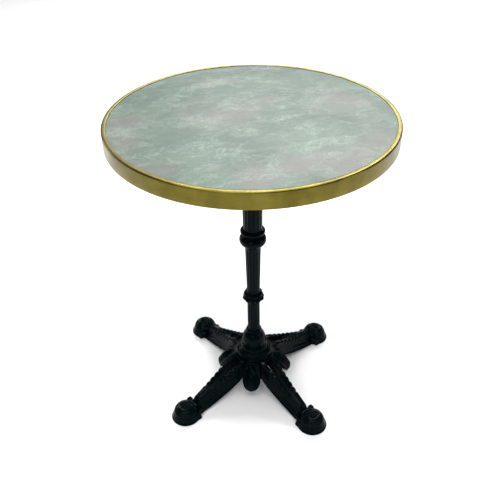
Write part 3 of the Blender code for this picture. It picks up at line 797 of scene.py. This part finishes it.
def foot_heel(side):
    """The straight end of a foot's skirt, which runs on towards the leg and stops square: the
    skirt's section carried along the leg and shrunk towards its middle at the end."""
    out = np.array([197.0, 197.8, 199.4, 204.0, 214.0, 224.0])
    soften = np.array([1.8, 0.8, 0.2, 0.0, 0.0, 0.0])[:, None]
    section = along([(25.4, 0.0), (34.6, 0.0), (34.4, 1.4), (32.2, 6.0),
                     (30.4, 11.0), (29.4, 14.4), (28.4, 15.6), (25.4, 15.8), (25.4, 8.0)], 40)
    middle = section.mean(axis=0)
    reach = middle + (section - middle)[None] * (1 - soften[..., None] / 8)
    out_grid = np.repeat(out[:, None], 40, 1)
    return shell(np.stack([out_grid, side * reach[..., 0], reach[..., 1].clip(0)], -1))


def volute(side, centre, size):
    """A scroll lying across a leg's side: an oval tube along a logarithmic spiral, which coils
    inwards round its eye and gets thinner."""
    turn = np.linspace(0, 2.4 * np.pi, 100)
    reach = size * np.exp(-0.14 * turn)
    path = np.stack([centre[0] + reach * np.cos(turn), np.full_like(turn, side * centre[1]),
                     centre[2] + reach * np.sin(turn)], -1)
    tube = np.linspace(0, TURN, 12, endpoint=False)
    thick = 0.27 * size * np.exp(-0.09 * turn)[:, None, None]
    tangent = np.gradient(path, axis=0)
    tangent /= np.linalg.norm(tangent, axis=1, keepdims=True)
    sideways = np.tile(np.array([0.0, 1.0, 0.0]), (len(turn), 1))
    up = np.cross(tangent, sideways)
    ring = (np.cos(tube)[None, :, None] * up[:, None] + 1.5 * np.sin(tube)[None, :, None]
            * sideways[:, None])
    return shell(path[:, None] + thick * ring)


def disc_boss(out, across, height, radius, width):
    """A short round plug lying across a leg, which fills a volute's eye: circles whose radius
    drops at the two ends."""
    angle = np.linspace(0, TURN, 40, endpoint=False)[None, :]
    steps = np.linspace(-1, 1, 7)[:, None]
    size = radius * np.sqrt(np.clip(1 - 0.55 * steps ** 6, 0, 1))
    points = np.stack([out + size * np.cos(angle), across + width * steps + 0 * angle,
                       height + size * np.sin(angle)], -1)
    return shell(points)


def legs():
    """Four legs, each fused from two rails, a feathered body, a foot and four scrolls."""
    foot_points, foot_faces = foot_dome()
    foot = (foot_points + np.array([FOOT_CIRCLE, 0.0, 0.0]), foot_faces)
    skins = [rail(1), rail(-1), leg_body(), foot]
    for side in (1, -1):
        skins.append(foot_heel(side))
        skins.append(volute(side, (192.5, 25.0, 15.5), 7.5))
        skins.append(disc_boss(192.5, side * 21.5, 15.5, 6.5, 3.6))
        skins.append(volute(side, (197.5, 13.0, 24.5), 5.0))
        skins.append(disc_boss(197.0, side * 9.5, 22.5, 5.0, 3.0))
    for number, azimuth in enumerate(LEG_AZIMUTHS, start=1):
        turned = [(turned_about_z(points, azimuth), faces) for points, faces in skins]
        cast_together(f"base_leg_{number}", turned, CASTING_VOXEL, 2, IRON,
                      ["base_casting"])


# Stations down a lobe: distance out, height and half width, mm.
LOBE_OUT = (46, 60, 72, 84, 93, 96.5, 94)
LOBE_HEIGHT = (85, 84, 78, 65, 50, 39, 28.5)
LOBE_HALF = (15, 18, 22, 24, 22.5, 18.5, 12.0)
LOBE_WALL = 6.5


def lobe_skin():
    """Leaf-shaped tongue with a keel: a rounded rib down its middle, a dished panel falling
    back on each side, a rolled and scalloped rim, and three grooves across its tip.

    The skin follows the stations' curve and moves along that curve's normal by the sum of rim,
    dish, rib and tip; its sides fall back by the 1.7 power of the distance from the keel.
    """
    count = 130
    place = np.linspace(0, 6, count)
    stations = np.arange(7)
    out = eased(place, stations, LOBE_OUT, 0.5)
    height = eased(place, stations, LOBE_HEIGHT, 0.5)
    half = eased(place, stations, LOBE_HALF, 0.4)
    run = np.stack([np.gradient(out), np.gradient(height)], 1)
    run /= np.linalg.norm(run, axis=1, keepdims=True)
    outward = np.stack([-run[:, 1], run[:, 0]], 1)
    share = np.linspace(-1, 1, 80)[None, :]
    size = np.abs(share)
    part = (place / 6)[:, None]
    back = 15.5 * size ** 1.7 * ramp(part, -0.1, 0.3) * (half[:, None] / 24)
    scallop = np.abs(np.sin(np.pi * part * 6.5)) ** 0.6
    rim = hump(size, 0.90, 0.17) * (1.9 + 0.9 * scallop) * ramp(part, 0.0, 0.12)
    dish = -2.8 * hump(size, 0.55, 0.34) * ramp(part, 0.10, 0.22) * (1 - ramp(part, 0.80, 0.90))
    rib = 1.5 * hump(share, 0.0, 0.30) * ramp(part, 0.05, 0.16) * (1 - ramp(part, 0.72, 0.80))
    grooves = np.clip(np.cos(TURN * (part - 0.80) / 0.058), 0, 1) ** 1.5
    tip = -1.3 * grooves * ramp(part, 0.765, 0.78) * (1 - ramp(part, 0.945, 0.955))
    tip = tip * (1 - ramp(size, 0.62, 0.80))
    rise = rim + dish + rib + tip
    wide = half[:, None] * share * (1 + 0.03 * scallop)
    setback = back * ramp(part, 0.0, 0.2)
    face_out = out[:, None] + outward[:, :1] * rise - setback
    face_height = height[:, None] + outward[:, 1:] * rise - 0.25 * setback * (1 - part)
    front = np.stack([face_out, wide, face_height], -1)
    behind_out = face_out - LOBE_WALL * outward[:, :1]
    behind_height = face_height - LOBE_WALL * outward[:, 1:]
    behind = np.stack([behind_out, wide * 0.92, behind_height], -1)[:, ::-1]
    return shell(np.concatenate([front, behind], axis=1))


def hub_skin():
    """Hub disc with a thin raised rim round its top and a rounded skirt underneath."""
    outer = [(45.0, HUB_TOP - 0.9), (49.0, HUB_TOP - 0.9), (49.6, HUB_TOP - 0.2), (50.8, HUB_TOP),
             (51.8, HUB_TOP - 0.6), (52.0, HUB_TOP - 2), (51.2, HUB_TOP - 3.6),
             (53.0, HUB_TOP - 6), (52.6, HUB_TOP - 12), (49.5, HUB_TOP - 24), (47.0, 58.5),
             (44.0, HUB_BOTTOM), (NUT_POCKET_RADIUS, HUB_BOTTOM),
             (NUT_POCKET_RADIUS, NUT_POCKET_ROOF), (ROD_BORE, NUT_POCKET_ROOF)]
    line = along(outer, 150, 0.4)
    outline = np.concatenate([line, [(ROD_BORE, HUB_TOP - 0.9)]])
    return revolved(outline, 240)


def hub():
    """The hub with its four lobes, fused."""
    lobe_points, lobe_faces = lobe_skin()
    skins = [hub_skin()]
    for azimuth in LOBE_AZIMUTHS:
        skins.append((turned_about_z(lobe_points, azimuth), lobe_faces))
    cast_together("base_hub", skins, CASTING_VOXEL, 3, IRON, ["base_casting"])


# ---- tabletop -----------------------------------------------------------------------
BAND_ROLL = 3.0           # radius of the band's rolled outer corner
BAND_FOLD = 0.8           # radius of its lower corner
BAND_WALL = 1.5
LIP_WIDTH = 9.3
LIP_THICKNESS = 2.5
FLANGE_WIDTH = 12.0
JOINT_AZIMUTH = 100       # where the band's ends meet, degrees
JOINT_HALF = 0.03         # half the slit between them, degrees


def edge_band():
    """Brass channel round the top: rolled outer corner, flat lip, wall and bottom flange.

    Its section is carried round the table from one side of the butt joint to the other.
    """
    roll_out = TOP_RADIUS - BAND_ROLL
    roll_up = TABLE_HEIGHT - BAND_ROLL
    rolled = [(roll_out + BAND_ROLL * math.cos(a), roll_up + BAND_ROLL * math.sin(a))
              for a in np.radians(np.linspace(90, 0, 13))]
    fold_out = TOP_RADIUS - BAND_FOLD
    fold_up = BAND_BOTTOM + BAND_FOLD
    folded = [(fold_out + BAND_FOLD * math.cos(a), fold_up + BAND_FOLD * math.sin(a))
              for a in np.radians(np.linspace(0, -90, 5))]
    lip = TOP_RADIUS - LIP_WIDTH
    lip_bottom = TABLE_HEIGHT - LIP_THICKNESS
    inner = TOP_RADIUS - BAND_WALL
    flange = TOP_RADIUS - FLANGE_WIDTH
    flange_top = BAND_BOTTOM + BAND_WALL
    outline = [(lip, lip_bottom), (lip, TABLE_HEIGHT - 0.7), (lip + 0.25, TABLE_HEIGHT - 0.2),
               (lip + 0.8, TABLE_HEIGHT), *rolled, (TOP_RADIUS, TABLE_HEIGHT - 12),
               (TOP_RADIUS, BAND_BOTTOM + 12), *folded, (flange, BAND_BOTTOM),
               (flange, flange_top), (inner, flange_top), (inner, lip_bottom)]
    outline = np.array(outline)
    slit = math.radians(JOINT_HALF)
    start = math.radians(JOINT_AZIMUTH) + slit
    angle = np.linspace(start, start + TURN - 2 * slit, 481)
    points = np.stack([outline[None, :, 0] * np.cos(angle)[:, None],
                       outline[None, :, 0] * np.sin(angle)[:, None],
                       np.repeat(outline[None, :, 1], len(angle), 0)], -1)
    piece("edge_band_rolled", shell(points), BRASS, ["edge_band"], angle=40)


def laminate():
    """The printed sheet: a flat disc with a hair of softening at its edge."""
    radius = LAMINATE_RADIUS
    columns = 360
    outline = [(0.05, LAMINATE_TOP), (radius * 0.5, LAMINATE_TOP), (radius - 1, LAMINATE_TOP),
               (radius - 0.15, LAMINATE_TOP - 0.05), (radius, LAMINATE_TOP - 0.2),
               (radius, LAMINATE_BOTTOM), (0.05, LAMINATE_BOTTOM)]
    outline = np.array(outline)
    angle = np.linspace(0, TURN, columns, endpoint=False)[None, :]
    points = np.stack([outline[:, :1] * np.cos(angle), outline[:, :1] * np.sin(angle),
                       np.repeat(outline[:, 1:], columns, 1)], -1)
    piece("laminate_sheet", shell(points), LAMINATE, ["laminate_top"])


upper_shaft()
double_collar()
tapered_shaft()
ornament_ring()
lower_shaft()
column_bell()
hub()
legs()
edge_band()
laminate()


# ---- camera, floor and lights ---------------------------------------------------------
CAMERA_STAND = 5.65               # where the camera stands, degrees anticlockwise from -Y
CAMERA_HEADING = CAMERA_STAND + 0.36    # where it looks, degrees anticlockwise from +Y
CAMERA_PITCH = 35.83              # degrees below the horizon
CAMERA_ROLL = 0.84                # degrees
CAMERA_BACK = 1.206               # metres from the column's axis
CAMERA_SHIFT = 0.0008             # metres to the side
CAMERA_HEIGHT = 1.278             # metres
CAMERA_LENS = 46.2                # mm, on a 36 mm sensor


def set_camera():
    """A camera in front of the table, looking down on it from standing height."""
    spin = Matrix.Rotation(math.radians(CAMERA_HEADING), 3, "Z")
    tilt = Matrix.Rotation(math.pi / 2 - math.radians(CAMERA_PITCH), 3, "X")
    lean = Matrix.Rotation(-math.radians(CAMERA_ROLL), 3, "Z")
    data = bpy.data.cameras.new("camera")
    data.sensor_width = 36
    data.lens = CAMERA_LENS
    camera = bpy.data.objects.new("camera", data)
    bpy.context.scene.collection.objects.link(camera)
    stand = math.radians(CAMERA_STAND)
    x = CAMERA_SHIFT
    y = -CAMERA_BACK
    spot = (x * math.cos(stand) - y * math.sin(stand), x * math.sin(stand) + y * math.cos(stand),
            CAMERA_HEIGHT)
    camera.matrix_world = Matrix.Translation(spot) @ (spin @ tilt @ lean).to_4x4()
    bpy.context.scene.camera = camera


def set_floor():
    """A large plain white floor."""
    mesh = bpy.data.meshes.new("floor")
    reach = 12.0          # metres each way
    mesh.from_pydata([(-reach, -reach, 0), (reach, -reach, 0), (reach, reach, 0),
                      (-reach, reach, 0)], [], [(0, 1, 2, 3)])
    floor = bpy.data.objects.new("floor", mesh)
    bpy.context.scene.collection.objects.link(floor)
    material, tree, shader, place = new_material("white_studio_floor")
    shade = add(tree, "ShaderNodeTexNoise", {"Vector": place, "Scale": 1.5})
    colour = mixed(tree, shade.outputs["Fac"], linear("#f6f6f6"), linear("#fafafa"))
    tree.links.new(colour, shader.inputs["Base Color"])
    shader.inputs["Roughness"].default_value = 0.9
    shader.inputs["Specular IOR Level"].default_value = 0.1
    mesh.materials.append(material)


def softbox(name, spot, aim, size, power):
    """A rectangular area light at a spot, facing a point; metres and watts."""
    data = bpy.data.lights.new(name, "AREA")
    data.shape = "RECTANGLE"
    data.size = size[0]
    data.size_y = size[1]
    data.energy = power
    light = bpy.data.objects.new(name, data)
    bpy.context.scene.collection.objects.link(light)
    back = Vector(spot) - Vector(aim)
    facing = back.to_track_quat("Z", "Y").to_matrix().to_4x4()
    light.matrix_world = Matrix.Translation(spot) @ facing


def set_lights():
    """Soft studio light: a broad box overhead, one behind, one over the far floor, and one
    each to the left, the right and the front."""
    softbox("overhead", (0.0, -0.3, 4.0), (0, 0, 0), (3.8, 3.8), 240)
    softbox("behind", (0.2, 3.0, 2.85), (0, 0, 0.7), (2.2, 0.7), 84)
    softbox("backdrop", (0.0, 4.0, 2.6), (0.0, 4.0, 0.0), (5.0, 1.6), 60)
    softbox("back_left", (-2.6, 1.4, 1.3), (0, 0, 0.4), (0.4, 1.6), 20)
    softbox("right", (2.9, -0.7, 1.2), (0, 0, 0.3), (0.4, 1.2), 11)
    softbox("front", (-0.4, -2.1, 1.5), (0, -1.1, 0), (0.9, 0.4), 16)
    world = bpy.data.worlds.new("studio")
    bpy.context.scene.world = world
    world.use_nodes = True
    sky = world.node_tree.nodes["Background"]
    sky.inputs["Color"].default_value = linear("#f2f5f6")
    sky.inputs["Strength"].default_value = 0.09


set_camera()
set_floor()
set_lights()
bpy.context.scene.view_settings.view_transform = "Standard"
